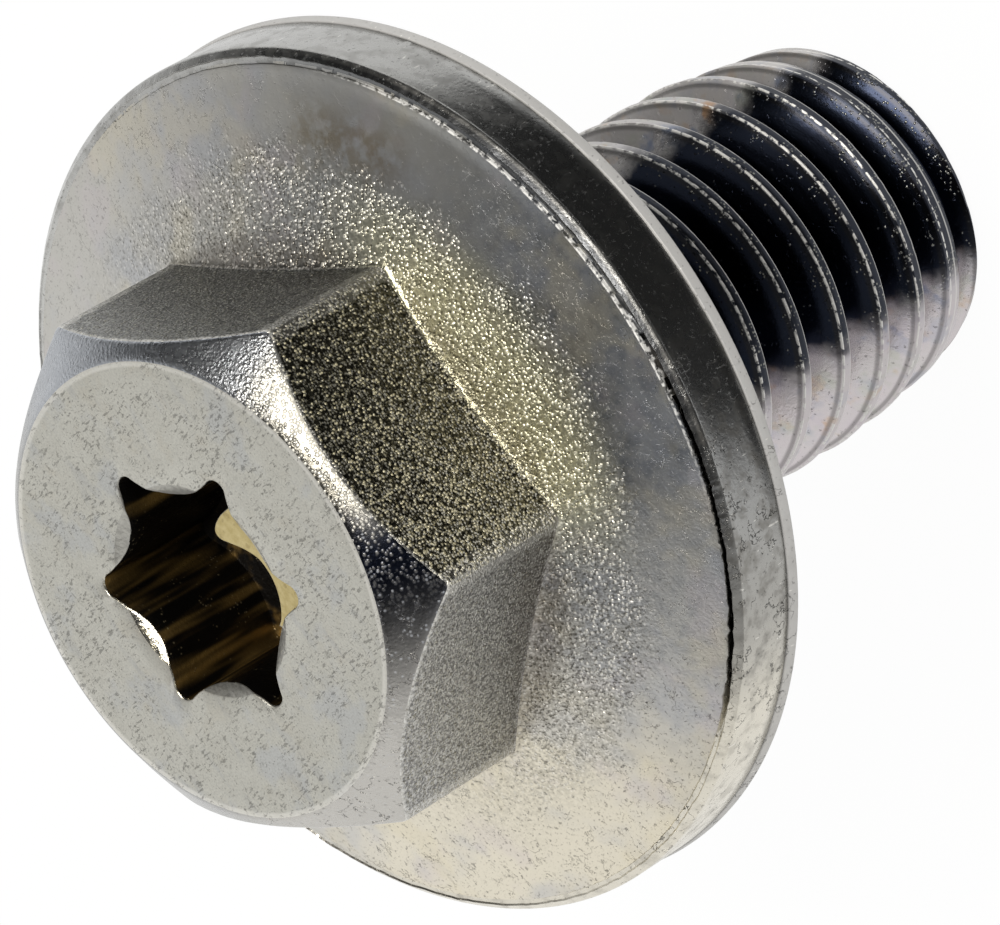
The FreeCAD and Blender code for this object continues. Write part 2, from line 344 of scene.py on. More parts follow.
class PlatingColours(bpy.types.PropertyGroup):
    plate: colour("Plate", "Plain satin plating of the end face", (0.60, 0.59, 0.53))
    bright: colour("Bright", "Polished and worn plating", (0.88, 0.86, 0.80))
    steel: colour("Steel", "Plating on forged faces", (0.46, 0.455, 0.43))
    # Painted warm light on the lower side of the flange's face and of the band
    painted_warm_sheen: colour("Cream", "Warm part of the passivated plating", (0.80, 0.74, 0.60))
    # Gold colours the painted glints on the flats, most of them on the right one
    gold: colour("Gold", "Yellow grains and tints", (0.82, 0.75, 0.50))
    blue: colour("Blue", "Cool part of the passivated plating", (0.36, 0.41, 0.52))
    lilac: colour("Lilac", "Pink and violet tints on the thread", (0.60, 0.53, 0.56))
    olive: colour("Olive", "Dark film between the grains", (0.085, 0.080, 0.058))
    # Darkens the foot of the flats and of the hexagon, and the pits of the mouth
    brown: colour("Brown", "Oily stain in corners and in the socket", (0.080, 0.050, 0.020))
    # Also the painted shade in the torn part of the groove
    dirt_and_crack_shade: colour("Dirt", "Specks and cracks", (0.035, 0.033, 0.030))


# Tints of single marks and patches, as red, green and blue

TINTS = {
    "smoke blue": (0.44, 0.48, 0.56), "sand": (0.56, 0.52, 0.43), "slate": (0.36, 0.38, 0.42),
    "ash": (0.36, 0.355, 0.33), "iron": (0.30, 0.30, 0.30), "cool grey": (0.46, 0.49, 0.54),
    "bronze": (0.14, 0.13, 0.10), "pale gold": (0.95, 0.91, 0.78), "blue black": (0.012, 0.017, 0.036),
    "pewter": (0.54, 0.52, 0.48), "warm white": (1.0, 0.96, 0.84), "silver": (0.62, 0.65, 0.70),
    "coal": (0.060, 0.060, 0.058), "forged grey": (0.27, 0.27, 0.25), "dark grey": (0.20, 0.195, 0.19),
    "light grey": (0.66, 0.65, 0.62), "black olive": (0.036, 0.035, 0.028), "khaki": (0.36, 0.33, 0.23),
    "linen": (0.60, 0.58, 0.53), "gunmetal": (0.13, 0.145, 0.17), "nickel": (0.72, 0.71, 0.68),
    "mist": (0.44, 0.46, 0.51), "straw": (0.70, 0.62, 0.42), "lemon": (0.86, 0.83, 0.58),
    "ivory": (0.93, 0.91, 0.84), "butter": (0.95, 0.90, 0.62), "oil": (0.20, 0.14, 0.05),
    "white": (1.0, 0.99, 0.95), "zinc": (0.62, 0.62, 0.60), "lead": (0.34, 0.34, 0.33),
    "graphite": (0.16, 0.165, 0.175), "ink": (0.04, 0.045, 0.055), "umber": (0.20, 0.19, 0.17),
    "scuffed": (0.46, 0.455, 0.445), "painted_bevel_shade": (0.05, 0.055, 0.065), "stone": (0.56, 0.55, 0.53),
    "putty": (0.50, 0.50, 0.47), "sage": (0.44, 0.48, 0.38), "copper": (0.58, 0.42, 0.27),
    "dull blue": (0.20, 0.27, 0.40), "deep blue": (0.04, 0.11, 0.28), "orange": (0.54, 0.31, 0.16),
    "black": (0.007, 0.012, 0.026), "dull gold": (0.62, 0.62, 0.54), "painted_crest_highlight": (0.74, 0.73, 0.70),
    "turned": (0.64, 0.63, 0.60), "shadow": (0.30, 0.29, 0.27), "painted_mouth_highlight": (0.90, 0.84, 0.66),
    "painted_socket_shade": (0.005, 0.004, 0.003), "amber": (0.40, 0.25, 0.070), "brass": (0.55, 0.46, 0.28),
    "ochre": (0.40, 0.31, 0.11), "honey": (0.70, 0.60, 0.33), "toffee": (0.24, 0.17, 0.07),
}


class Wire:
    """A socket in a material. An operator used on it adds the Math node that works the sum out."""

    def __init__(self, finish, socket):
        self.finish = finish
        self.socket = socket

    def worked(self, operation, *others):
        """Add a Math node that takes this socket first."""
        return self.finish.node("Math", {"operation": operation}, dict(enumerate((self, *others))))

    def __add__(self, other):
        return self.worked("ADD", other)

    __radd__ = __add__

    def __sub__(self, other):
        return self.worked("SUBTRACT", other)

    def __rsub__(self, other):
        return self.worked("MULTIPLY_ADD", -1.0, other)

    def __mul__(self, other):
        return self.worked("MULTIPLY", other)

    def __truediv__(self, other):
        return self.worked("DIVIDE", other)

    def __pow__(self, other):
        return self.worked("POWER", other)


class Builder:
    """Adds shader nodes to a material or to the world."""

    def __init__(self, tree):
        self.tree = tree
        self.tree.nodes.clear()

    def node(self, kind, settings, values, output=0):
        """Add a node: its settings come first, then the values or wires of its sockets."""
        made = self.tree.nodes.new("ShaderNode" + kind)
        for name, setting in settings.items():
            setattr(made, name, setting)
        for name, value in values.items():
            if isinstance(value, Wire):
                self.tree.links.new(value.socket, made.inputs[name])
            else:
                made.inputs[name].default_value = value
        return Wire(self, made.outputs[output]) if made.outputs else None

    def step(self, value, low, high):
        """Smooth step of a value from 0 at low to 1 at high."""
        return self.node("MapRange", {"interpolation_type": "SMOOTHSTEP"},
                         {"Value": value, "From Min": low, "From Max": high})

    def seen(self):
        """1 for what the camera sees directly, in gloss or through glass, and 0 for light on other things."""
        rays = ("Is Camera Ray", "Is Glossy Ray", "Is Transmission Ray")
        camera, glossy, through = (self.node("LightPath", {}, {}, ray) for ray in rays)
        return camera + glossy + through


class Finish(Builder):
    """A material that knows where on the object it is, in millimetres."""

    def __init__(self, name):
        self.material = bpy.data.materials.new(name)
        self.material.use_nodes = True
        super().__init__(self.material.node_tree)
        place = self.node("TexCoord", {}, {}, "Object")
        self.place = self.node("VectorMath", {"operation": "SCALE"}, {0: place, "Scale": 1 / MM})

    def dot(self, place, direction):
        """How far a place lies along a direction."""
        return self.node("VectorMath", {"operation": "DOT_PRODUCT"},
                         {0: place, 1: tuple(direction)}, "Value")

    def surface(self, shader):
        """Make this shader the surface."""
        self.node("OutputMaterial", {}, {"Surface": shader})
        return self.material

    def glowing(self, cover, shader, colour):
        """Cover a shader with a plain colour that needs no light."""
        plain = self.node("Emission", {}, {"Color": (*colour, 1.0), "Strength": 1.0})
        return self.surface(self.node("MixShader", {}, {0: cover, 1: shader, 2: plain}))


class Plating(Finish):
    """The finishes of the plug, one method for each. Lengths are in millimetres, noise is per millimetre."""

    # Inputs and output of the Mix node that carry colours
    FIRST, SECOND, RESULT = 6, 7, 2

    def __init__(self, name, scene):
        super().__init__(name)
        self.colours = scene.plug_colours
        self.thread_sizes = scene.plug_thread
        flange = scene.plug_flange
        edges = Outlines(scene.plug_head, flange)
        self.face_height = edges.top / MM
        self.crown_radius = edges.crown_radius / MM
        self.crown_fall = edges.crown_fall
        self.half_flats = edges.half_flats / MM
        self.corner_reach = edges.hexagon(0.0) / MM
        self.foot_height = edges.cone(edges.half_flats) / MM
        self.crack_inner = edges.crack_inner / MM
        self.crack_outer = edges.crack_outer / MM
        self.rim_top = edges.rim_top / MM
        self.lip_top = (flange.seat_height + flange.lip_height) / MM
        self.x, self.y, self.height = (self.node("SeparateXYZ", {}, {0: self.place}, axis)
                                       for axis in "XYZ")
        self.reach = (self.x * self.x + self.y * self.y) ** 0.5

    # Colours

    def paint(self, name):
        """The colour of a name, or the wire that was given."""
        if isinstance(name, Wire):
            return name
        return (*(TINTS[name] if name in TINTS else getattr(self.colours, name)), 1.0)

    def mixed(self, share, first, second):
        """Go from the first colour to the second as the share goes from 0 to 1."""
        values = {0: share, self.FIRST: self.paint(first), self.SECOND: self.paint(second)}
        return self.node("Mix", {"data_type": "RGBA"}, values, self.RESULT)

    def layered(self, colour, *layers):
        """Lay colours over one another, each with the share of it that shows."""
        for share, name in layers:
            colour = self.mixed(share, colour, name)
        return colour

    def plated(self, colour, roughness, relief, depth, metallic=1.0):
        """Join the shader: the relief is a height between 0 and 1, and the depth its size."""
        bump = self.node("Bump", {}, {"Height": relief, "Distance": depth * MM, "Strength": 1.0})
        values = {"Base Color": colour, "Roughness": roughness, "Metallic": metallic, "Normal": bump}
        return self.surface(self.node("BsdfPrincipled", {}, values))

    # Patterns between 0 and 1

    def below(self, value, low, high):
        """Smooth step from 1 at low to 0 at high."""
        return 1 - self.step(value, low, high)

    def band(self, value, start, full, fade, end):
        """1 from full to fade, and 0 before the start and after the end."""
        return self.step(value, start, full) * self.below(value, fade, end)

    def along(self, degrees):
        """Distance from the axis in one direction."""
        return self.x * math.cos(math.radians(degrees)) + self.y * math.sin(math.radians(degrees))

    def towards(self, degrees, half_width):
        """1 in one direction round the plug, and 0 from the half width outwards."""
        return self.step(self.along(degrees) / self.reach, math.cos(math.radians(half_width)),
                         math.cos(math.radians(half_width * 0.4)))

    def cloud(self, scale, detail=2.0, shift=0.0, stretch=(1.0, 1.0, 1.0), turn=0.0):
        """Soft noise round 0.5; the stretch and the turn about the axis make it run one way."""
        place = self.node("Mapping", {}, {"Vector": self.place, "Location": (shift, 2 * shift, 3 * shift),
                                          "Rotation": (0.0, 0.0, turn), "Scale": stretch})
        return self.node("TexNoise", {},
                         {"Vector": place, "Scale": scale, "Detail": detail, "Roughness": 0.6})

    def swell(self, scale, detail, shift, size):
        """Soft noise round 0, of this size, to make an edge wander."""
        return (self.cloud(scale, detail, shift) - 0.5) * size

    def spots(self, low, high, scale, detail, shift, stretch=(1.0, 1.0, 1.0), turn=0.0):
        """The high parts of soft noise."""
        return self.step(self.cloud(scale, detail, shift, stretch, turn), low, high)

    def grains(self, scale, shift, output):
        """Cells of forged grain."""
        place = self.node("Mapping", {}, {"Vector": self.place, "Location": (shift, 0.0, 0.0)})
        return self.node("TexVoronoi", {"feature": "F1"},
                         {"Vector": place, "Scale": scale, "Randomness": 1.0}, output)

    def dots(self, scale, shift, share):
        """Small round grains, held by this share of the cells."""
        hill = self.below(self.grains(scale, shift, "Distance"), 0.15, 0.60)
        chance = self.node("SeparateXYZ", {}, {0: self.grains(scale, shift, "Color")}, "X")
        return hill * self.step(chance, 0.98 - share, 1.02 - share)

    def veins(self, scale, shift, width):
        """Thin wandering lines."""
        return self.below((self.cloud(scale, 5.0, shift) - 0.5).worked("ABSOLUTE"), 0.0, width)

    # Finishes

    def end_face(self):
        """Pale satin end of the head with small dark flecks, blue smudges and a thin bright border."""
        flecks = self.spots(0.54, 0.66, 11.0, 3.0, 1.3, (1.0, 0.35, 1.0), 0.5)
        cross = self.spots(0.59, 0.68, 10.0, 3.0, 5.3, (0.35, 1.0, 1.0), -0.4)
        specks = self.spots(0.66, 0.74, 13.0, 1.0, 4.1)
        patches = self.spots(0.34, 0.56, 0.7, 3.0, 13.0)
        clouds = self.spots(0.52, 0.66, 0.55, 4.0, 7.0)
        smear = self.spots(0.56, 0.72, 1.4, 3.0, 2.0, (0.35, 1.0, 1.0), 0.3)
        warm = self.spots(0.54, 0.68, 0.8, 3.0, 19.0)
        grain = self.cloud(14.0, 2.0, 3.0)
        border = self.step(self.reach, self.crown_radius - 0.25, self.crown_radius - 0.15)
        marks = self.veins(0.5, 23.0, 0.006) * self.spots(0.50, 0.58, 1.5, 2.0, 29.0)
        pits = self.step((flecks * 0.8 + cross * 0.6) * patches + specks * 0.7 + marks * 0.3, 0.0, 1.0)
        colour = self.layered(
            "plate", (clouds * 0.28, "smoke blue"), (warm * 0.30, "sand"),
            (smear * 0.26, "slate"), ((grain - 0.5) * 1.4 + 0.12, "ash"),
            (border * 0.5, "bright"), (pits * 0.50, "dirt_and_crack_shade"))
        relief = grain * 0.35 + self.cloud(2.0, 3.0, 9.0) * 0.8 - pits * 0.9
        return self.plated(colour, self.cloud(1.2) * 0.2 + 0.38, relief, 0.012)

    def crown(self):
        """Sloping crown with painted reflections: blue-grey above, a painted highlight of brilliant glints on
        the right, a painted dark side, a painted pale lower side.
        """
        rough = self.dots(7.5, 1.0, 0.88)
        fine = self.cloud(10.0, 3.0, 2.0)
        # Painted light by direction: a painted highlight with glints on the right, painted shade on the dark
        # side, painted cool reflection above and painted pale reflection below
        bright_side = self.towards(-91, 35)
        uneven_reach = self.reach + self.swell(4.0, 3.0, 7.0, 0.6)
        outer = self.step(uneven_reach, self.crown_radius + 0.1, self.half_flats)
        painted_crown_highlight = self.towards(-86, 26) * outer
        dark_side = self.towards(-123, 32)
        cool = self.towards(-30, 62)
        pale = self.towards(188, 58)
        pits = self.spots(0.60, 0.72, 6.0, 3.0, 8.0)
        # Silver sparks: painted glints, most of them on the painted dark side
        sparks = self.dots(9.0, 6.0, 0.14)
        cracks = self.veins(0.8, 71.0, 0.010) * self.spots(0.42, 0.52, 1.0, 2.0, 77.0) * pale
        colour = self.layered(
            "iron", (fine, "steel"), (cool * 0.7, "cool grey"), (bright_side * 0.8, "bronze"),
            (painted_crown_highlight * 0.75, "pale gold"), (dark_side * 0.97, "blue black"), (pale * 0.8, "pewter"),
            (rough * (bright_side * (1 - dark_side * 0.85) + 0.03), "warm white"),
            (sparks * (dark_side * 0.35 + 0.15), "silver"),
            (pits * (0.4 - painted_crown_highlight * 0.15) * (1 - dark_side), "dirt_and_crack_shade"), (cracks * 0.6, "dirt_and_crack_shade"))
        relief = (rough * (bright_side * 0.7 + 0.1) + fine * 0.5) * (1 - dark_side * 0.6) - cracks * 0.6
        metallic = 1 - (rough * 0.50 + painted_crown_highlight * 0.45) * bright_side - sparks * dark_side * 0.3
        return self.plated(colour, self.cloud(3.0, 2.0, 6.0) * 0.15 + 0.2, relief, 0.04, metallic)

    def flats(self):
        """Forged flats with small grains painted as bright glints: the right one painted nearly black as
        shade with golden glints, the lower one painted lighter, the others grey.
        """
        fine = self.cloud(9.0, 3.0, 8.0)
        grain = self.spots(0.38, 0.64, 9.0, 3.0, 5.0)
        # Painted shade on the right flat and a painted lighter tone on the lower flat
        right, lower = (self.step(self.along(degrees), self.half_flats - 0.14, self.half_flats - 0.06)
                        for degrees in (-90, -150))
        wavy = self.swell(3.0, 3.0, 0.0, 0.2)
        below_face = self.face_height - self.height
        below_crown = below_face - (self.reach - self.crown_radius) * self.crown_fall
        worn_top = self.below(below_crown + wavy, 0.03, 0.16)
        worn_corner = self.step(self.reach + wavy, self.corner_reach - 0.20, self.corner_reach - 0.12)
        # The right flat's painted shade lightens towards the flange, where its painted glints thicken
        slant = self.along(180) * 0.8 + (below_face - 3.5) * 0.8 + self.swell(1.0, 3.0, 0.0, 2)
        low = self.step(slant, -5.0, 4.5)
        # Browner at the foot of the flats and over the low part of the lower flat
        above_foot = self.height - self.foot_height
        root = self.below(above_foot + self.swell(2.5, 2.0, 0.0, 0.5), -0.49, 0.01)
        foot = lower * self.below(above_foot + self.along(120) * 0.25, -0.29, 2.11)
        # Sparks and glints: painted glints, bright grains that are less metallic
        sparks = self.dots(9.5, 3.0, right * (low * 0.55 + 0.12) + 0.20)
        glints = self.dots(12.0, 9.0, 0.70)
        grey = self.mixed(grain, "coal", "forged grey")
        pale = self.mixed(grain, "dark grey", "light grey")
        deep = self.mixed(grain * (low * 0.8 + 0.2), "black olive", "khaki")
        colour = self.layered(
            grey, (lower * 0.7, pale), (right * 0.95, deep), (root * 0.45 + foot * 0.35, "brown"),
            (glints * (lower * 0.20 + right * (low * 0.60 - 0.10) + 0.30), "plate"),
            (sparks * (right * 0.42 + 0.20), "gold"),
            (worn_corner * 0.35, "bright"), (worn_top * 0.55, "bright"))
        relief = sparks * 0.8 + glints * 0.5 + fine * 0.4
        metallic = 1 - sparks * right * 0.60 - glints * (right * (low * 0.35 + 0.10) + 0.25)
        return self.plated(colour, self.cloud(3.0, 2.0, 6.0) * 0.15 + 0.22, relief, 0.045, metallic)

    def flange_face(self):
        """Face of the flange: bright and dark grain next to the hexagon, its bright grains painted glints,
        plain tinted plating outside it, painted light and shade by direction and a painted highlight on the
        bead.
        """
        coarse = self.below(self.reach + self.swell(0.5, 4.0, 3.0, 3.2), 10.2, 12.2)
        coarse = coarse * (1 - self.towards(90, 120) * 0.85)
        fine = self.cloud(9.0, 3.0, 5.0)
        # Sparks: painted glints on the coarse grain
        sparks = self.dots(8.0, 4.0, coarse * 0.62) * coarse
        pits = self.dots(8.0, 12.0, coarse * 0.60) * coarse
        grain = self.spots(0.38, 0.62, 8.0, 3.0, 35.0)
        # A painted highlight along the bead on the right
        bead = self.band(self.reach - self.crack_inner, -0.08, -0.05, 0.0, 0.03)
        bead = bead * self.towards(-80, 44) * self.spots(0.40, 0.56, 5.0, 3.0, 41.0)
        # Painted light and shade by direction: a painted warm highlight beside the right flat, painted warm
        # light below, painted pale light above, painted shade on the right and a painted lighter patch below
        # it
        yellow = self.towards(-88, 46) * self.below(self.reach, 9.6, 11.6)
        painted_warm_sheen = self.towards(168, 70)
        shade = self.towards(-112, 58)
        painted_light_patch = self.towards(-138, 26)
        pale = self.towards(12, 60)
        blue_tint = self.spots(0.44, 0.68, 0.33, 3.0, 11.0)
        pink_tint = self.spots(0.54, 0.68, 0.36, 3.0, 17.0)
        yellow_tint = self.spots(0.52, 0.66, 0.4, 3.0, 27.0)
        scuffs = self.spots(0.42, 0.64, 2.2, 4.0, 81.0, (1.0, 1.0, 0.5))
        flecks = self.spots(0.60, 0.68, 6.5, 4.0, 21.0) + self.spots(0.60, 0.70, 11.0, 3.0, 24.0) * 0.7
        flecks = flecks + self.veins(0.7, 51.0, 0.008) * self.spots(0.48, 0.56, 1.2, 2.0, 57.0)
        flecks = flecks * (painted_warm_sheen * 0.75 + pale * 0.35 + shade * 0.35 + 0.15)
        # Browner towards the foot of the hexagon
        root = self.below(self.reach + self.swell(2.0, 3.0, 0.0, 0.8), 8.3, 9.2)
        stain = self.towards(-47, 13) * self.band(self.reach, 10.4, 11.9, 11.9, 13.2)
        stain = stain * self.spots(0.35, 0.62, 1.6, 3.0, 33.0)
        colour = self.layered(
            "steel", (painted_warm_sheen * 0.85, "painted_warm_sheen"), (pale * 0.5, "linen"),
            (shade * (scuffs * 0.30 + 0.55), "gunmetal"), (painted_light_patch * 0.40, "nickel"),
            (blue_tint * 0.45, "mist"), (pink_tint * 0.25, "lilac"), (yellow_tint * 0.25, "straw"),
            (yellow * 0.85, "lemon"), (coarse * (1 - grain) * (0.42 - yellow * 0.12), "olive"),
            (pits * 0.45, "olive"), (sparks * 0.55, "ivory"), (sparks * yellow * 0.5, "butter"),
            (root * 0.35, "brown"), (stain * 0.55, "oil"), (flecks * 0.50, "dirt_and_crack_shade"),
            (bead * 0.9, "white"))
        relief = sparks * 0.6 - pits * 0.6 + fine * (coarse * 0.35 + shade * 0.35 + 0.05)
        relief = relief + self.cloud(1.0, 3.0, 13.0) * 0.3 - flecks * 0.25
        return self.plated(colour, 0.36 - coarse * 0.06, relief, 0.035, 1 - sparks * 0.40 - bead * 0.6)

    def rim(self):
        """Smooth rolled band with its bevel, the torn groove and the scuffed lip beside the seat, painted
        light and shade by direction, and painted shade on the bevel and in the torn part of the groove.
        """
        above_lip = self.height - self.lip_top
        below_rim = self.height - self.rim_top
        lip = self.below(above_lip, -0.02, 0.01)
        line = self.band(above_lip, -0.04, -0.01, 0.01, 0.05)
        # Painted light and shade by direction: painted warm light below, painted shade on the upper side, on
        # the right and in a black band, and painted shade on the bevel
        painted_warm_sheen = self.towards(175, 70)
        shade = self.towards(-121, 30)
        top = self.towards(-35, 70)
        black = self.towards(-82, 22)
        bevel = self.step(below_rim, -0.14, -0.08) * self.towards(-76, 54)
        cracks = self.veins(0.8, 61.0, 0.010) * self.spots(0.45, 0.55, 1.0, 2.0, 67.0) * self.towards(205, 62)
        specks = self.spots(0.62, 0.72, 9.0, 3.0, 8.0)
        scratch = self.spots(0.735, 0.76, 3.0, 1.0, 31.0, (3.0, 3.0, 0.6))
        # Painted shade in the torn part of the groove
        groove = self.below(self.reach - self.crack_outer, 0.0, 0.06) * self.below(below_rim, -0.08, 0.0)
        groove = groove * self.towards(-122, 32)
        clouds = self.cloud(0.6, 3.0, 2.0)
        # Umber mottle, strongest in the painted shade
        mottle = self.spots(0.45, 0.66, 1.6, 4.0, 71.0)
        colour = self.layered(
            "steel", (clouds, "zinc"), (painted_warm_sheen * 0.6, "painted_warm_sheen"), (top * 0.6, "lead"),
            (shade * 0.52, "graphite"), (black * 0.45, "ink"),
            (mottle * (shade * 0.40 + 0.25), "umber"), (lip * 0.85, "scuffed"),
            (specks * 0.5, "dirt_and_crack_shade"), (scratch * 0.5, "bright"), (cracks * 0.85, "dirt_and_crack_shade"),
            (line * 0.45, "dirt_and_crack_shade"), (bevel * 0.75, "painted_bevel_shade"), (groove * 0.95, "dirt_and_crack_shade"))
        relief = clouds * 0.5 + self.cloud(8.0, 2.0, 4.0) * 0.3 - cracks * 0.8 - specks * 0.3
        return self.plated(colour, lip * 0.25 + mottle * 0.1 + 0.26, relief, 0.02, 1 - lip * 0.75)

    def thread(self):
        """Thread with painted highlights along the crest edges over flanks that run from lilac through deep
        blue to painted black shade on the right.
        """
        sizes = self.thread_sizes
        taper = self.step(self.height, -1.5, 6.0) * ((sizes.radius - sizes.tip_radius) / MM)
        past_crest = self.reach - (sizes.tip_radius / MM + taper)
        turn = self.y.worked("ARCTAN2", self.x) / (2 * math.pi)
        rise = (self.height - sizes.first_crest / MM) / (sizes.pitch / MM)
        across = (rise - turn + 0.5).worked("FRACT") - 0.5
        crest = self.step(past_crest, -0.12, -0.04)
        # Painted highlights along both edges of the crests, broken on the head side
        head_edge = self.band(across, 0.060, 0.074, 0.090, 0.108)
        tip_edge = self.band(across, -0.108, -0.092, -0.074, -0.060)
        dashes = head_edge * self.spots(0.42, 0.54, 4.0, 3.0, 44.0)
        painted_crest_highlight = (tip_edge * 0.6 + dashes) * self.step(past_crest, -0.22, -0.10)
        line = self.band(past_crest, -0.26, -0.16, -0.12, -0.06)
        streak = self.cloud(0.8, 4.0, 3.0, (1.0, 1.0, 0.35))
        ragged = (streak - 0.5) * 0.7
        # Painted shade: the flanks on the right turn black, with a blue and orange fringe
        dark = self.step(self.towards(-90, 54) + ragged, 0.12, 0.56)
        edge = self.step(self.towards(-90, 57) + ragged, 0.02, 0.30) * (1 - dark)
        blue = self.spots(0.52, 0.66, 0.7, 3.0, 9.0)
        orange = self.spots(0.56, 0.70, 0.8, 3.0, 14.0)
        green = self.spots(0.54, 0.68, 0.7, 3.0, 25.0)
        worn = self.step(past_crest, -0.5, -0.2) * self.spots(0.42, 0.65, 1.2, 2.0, 6.0)
        # Painted glints near the crests on the right
        sparks = self.dots(11.0, 2.0, worn * 0.4) * self.towards(-96, 60)
        flecks = self.spots(0.64, 0.72, 6.0, 2.0, 12.0)
        # Painted lighter tone on the upper side, less metallic
        upper = self.towards(-15, 60)
        colour = self.layered(
            "stone", (streak, "lilac"), (upper * 0.5, "putty"), (green * 0.40, "sage"),
            (orange * 0.45, "copper"), (blue * 0.22, "dull blue"),
            (edge * (blue * 0.55 + 0.10), "deep blue"), (edge * orange * 0.9, "orange"),
            (dark * 0.98, "black"), (sparks * 0.4, "dull gold"), (flecks * 0.4, "dirt_and_crack_shade"),
            (line * 0.5, "dirt_and_crack_shade"), (crest * 0.04, "steel"), (painted_crest_highlight * 0.9, "painted_crest_highlight"))
        relief = self.cloud(8.0, 3.0, 2.0) * (0.25 - dark * 0.15) + sparks * 0.3 * (1 - crest) - flecks * 0.2
        metallic = 1 - sparks * 0.5 - painted_crest_highlight * 0.5 - upper * (1 - dark) * 0.3
        return self.plated(colour, 0.26 + crest * 0.2 - dark * 0.08, relief, 0.03, metallic)

    def seat(self):
        """Turned underside of the flange and the plain neck."""
        rings = self.node("TexNoise", {"noise_dimensions": "1D"},
                          {"W": self.reach, "Scale": 6.0, "Detail": 4.0})
        scuffs = self.spots(0.56, 0.66, 1.1, 4.0, 5.0)
        specks = self.spots(0.68, 0.75, 8.0, 2.0, 8.0)
        colour = self.layered(
            "steel", (rings, "turned"), (scuffs * 0.3, "blue"), (specks * 0.5, "dirt_and_crack_shade"))
        return self.plated(colour, scuffs * 0.15 + 0.3, rings - specks * 0.3, 0.012)

    def mouth(self):
        """Small cone and burrs round the socket's mouth, in painted shade with a painted golden highlight on
        the far side.
        """
        wear = self.cloud(5.0, 3.0, 3.0)
        pits = self.spots(0.66, 0.74, 9.0, 2.0, 1.0)
        # Painted golden highlight on the far side of the mouth
        painted_mouth_highlight = self.towards(91, 48)
        colour = self.layered(
            "shadow", (wear, "plate"), (painted_mouth_highlight * self.step(wear, 0.44, 0.58), "painted_mouth_highlight"),
            (pits * 0.5, "brown"))
        return self.plated(colour, 0.40 - painted_mouth_highlight * 0.18, wear, 0.03)

    def socket(self):
        """Wall of the socket in painted shade, nearly black, with painted golden reflections in streaks along
        its depth.
        """
        drawn = self.node("Mapping", {}, {"Vector": self.place, "Scale": (1.0, 1.0, 0.12)})
        streaks = self.node("TexNoise", {}, {"Vector": drawn, "Scale": 0.7, "Detail": 3.0, "Roughness": 0.65})
        # Painted golden reflections in streaks
        glow = self.step(streaks, 0.50, 0.72)
        sparks = self.dots(13.0, 2.0, self.spots(0.54, 0.74, 1.4, 2.0, 8.0) * 0.25)
        colour = self.layered(
            "painted_socket_shade", (glow * 0.9, "amber"), (sparks * 0.3, "brass"))
        return self.plated(colour, 0.4, self.cloud(7.0, 3.0, 2.0) + sparks * 0.4, 0.03, 0.7)

    def fold(self):
        """Face of the folded metal, yellow as a painted reflection of warm light, with a mottled grain."""
        mottle = self.cloud(4.5, 4.0, 2.0)
        stain = self.spots(0.56, 0.66, 3.0, 3.0, 7.0)
        # Yellow: painted reflection of warm light, mottled and stained
        colour = self.layered(
            "ochre", (mottle, "honey"), (stain * 0.35, "toffee"))
        return self.plated(colour, 0.42, mottle, 0.02)


FINISHES = ("end_face", "crown", "flats", "flange_face", "rim", "thread", "seat", "mouth", "socket", "fold")


# Limits between the finishes: upward lean of a face from 0 to 1, distances in metres, and shares of a width

LEANING = 0.3
SLOPING = 0.5
LEVEL = 0.95
NEAR = 0.01 * MM
FOLD_EDGE = 0.08 * MM
SOCKET_MARGIN = 0.5 * MM
CROWN_DROP = 3 * MM
NECK_INSIDE = 4.9 * MM
NECK_BELOW_SEAT = 1.9 * MM
HEXAGON_SHARE = 0.58
GROOVE_SHARE = 0.8


def finish_at(place, outward, head, flange):
    """Name of the finish that belongs to a place on the plug and the way it faces."""
    reach = math.hypot(place.x, place.y)
    rim_top = flange.seat_height + flange.rim_height
    below_face = head.face_height - place.z
    if below_face < NEAR:
        return "end_face"
    if place.z > rim_top and reach < head.lobe_radius + SOCKET_MARGIN:
        if below_face > head.fold_drop + FOLD_EDGE or outward.z < LEANING:
            return "socket"
        return "fold" if outward.z > LEVEL else "mouth"
    if place.z > rim_top + NEAR and reach < head.across_flats * HEXAGON_SHARE:
        if outward.z < SLOPING:
            return "flats"
        return "crown" if below_face < CROWN_DROP else "flange_face"
    if place.z < flange.seat_height + NEAR:
        return "seat" if reach > NECK_INSIDE and place.z > flange.seat_height - NECK_BELOW_SEAT else "thread"
    groove = flange.radius - flange.lip_flare - flange.bevel_width - flange.crack_width * GROOVE_SHARE
    return "rim" if reach > groove else "flange_face"


